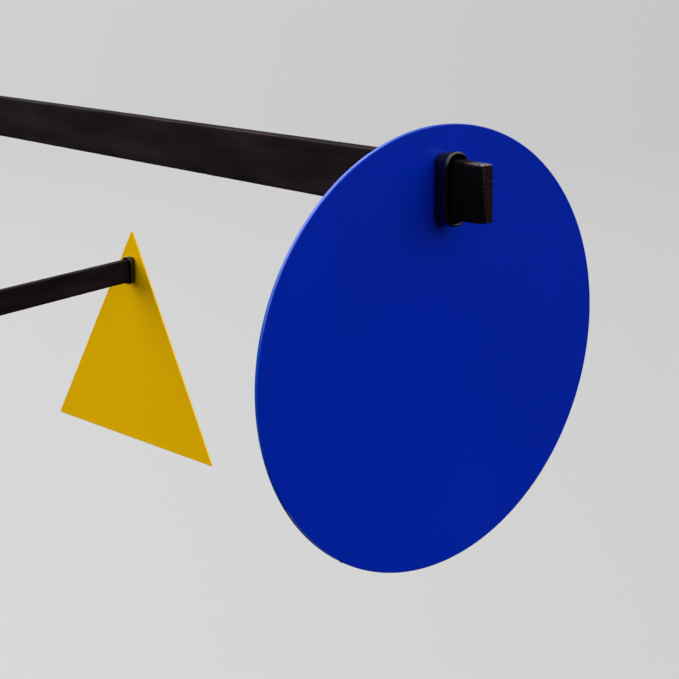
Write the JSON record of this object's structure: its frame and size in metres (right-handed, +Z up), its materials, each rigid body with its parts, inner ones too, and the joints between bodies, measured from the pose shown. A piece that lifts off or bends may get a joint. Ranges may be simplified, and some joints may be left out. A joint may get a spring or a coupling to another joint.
{
  "type": "hanging mobile sculpture",
  "caption": "Hanging mobile: black wooden laths on edge, one below the other, carrying round, three-cornered and square coloured plates and turning on steel rods.",
  "frame": {"origin": "centre of the hanging eye at the top of the hanger rod", "axes": "+Z up, along both swivel axes; +X along the upper lath at rest, towards the round plate"},
  "size_m": [0.9865, 0.7115, 0.5477],
  "materials": {
    "black_stained_wood": "satin",
    "blue_powder_coat": "matte",
    "yellow_powder_coat": "matte",
    "red_powder_coat": "matte",
    "black_rubber": "satin",
    "black_steel": "satin"
  },
  "bodies": {
    "hanger": {"hanger_rod": "black_steel", "hanger_collar": "black_steel"},
    "upper_arm": {"upper_lath": "black_stained_wood", "disc_plate": "blue_powder_coat", "disc_grommet": "black_rubber"},
    "lower_arm": {"lower_lath": "black_stained_wood", "triangle_plate": "yellow_powder_coat", "triangle_grommet": "black_rubber", "square_plate": "red_powder_coat", "square_grommet": "black_rubber", "link_rod": "black_steel", "link_collar_top": "black_steel", "link_collar_bottom": "black_steel"}
  },
  "joints": [
    {"name": "upper_arm_swivel", "type": "hinge", "parent": "hanger", "child": "upper_arm", "pos_m": [0, 0, -0.11], "axis": [0, 0, 1], "continuous": true},
    {"name": "lower_arm_swivel", "type": "hinge", "parent": "upper_arm", "child": "lower_arm", "pos_m": [-0.23967, 0, -0.3314], "axis": [0, 0, 1], "continuous": true}
  ]
}
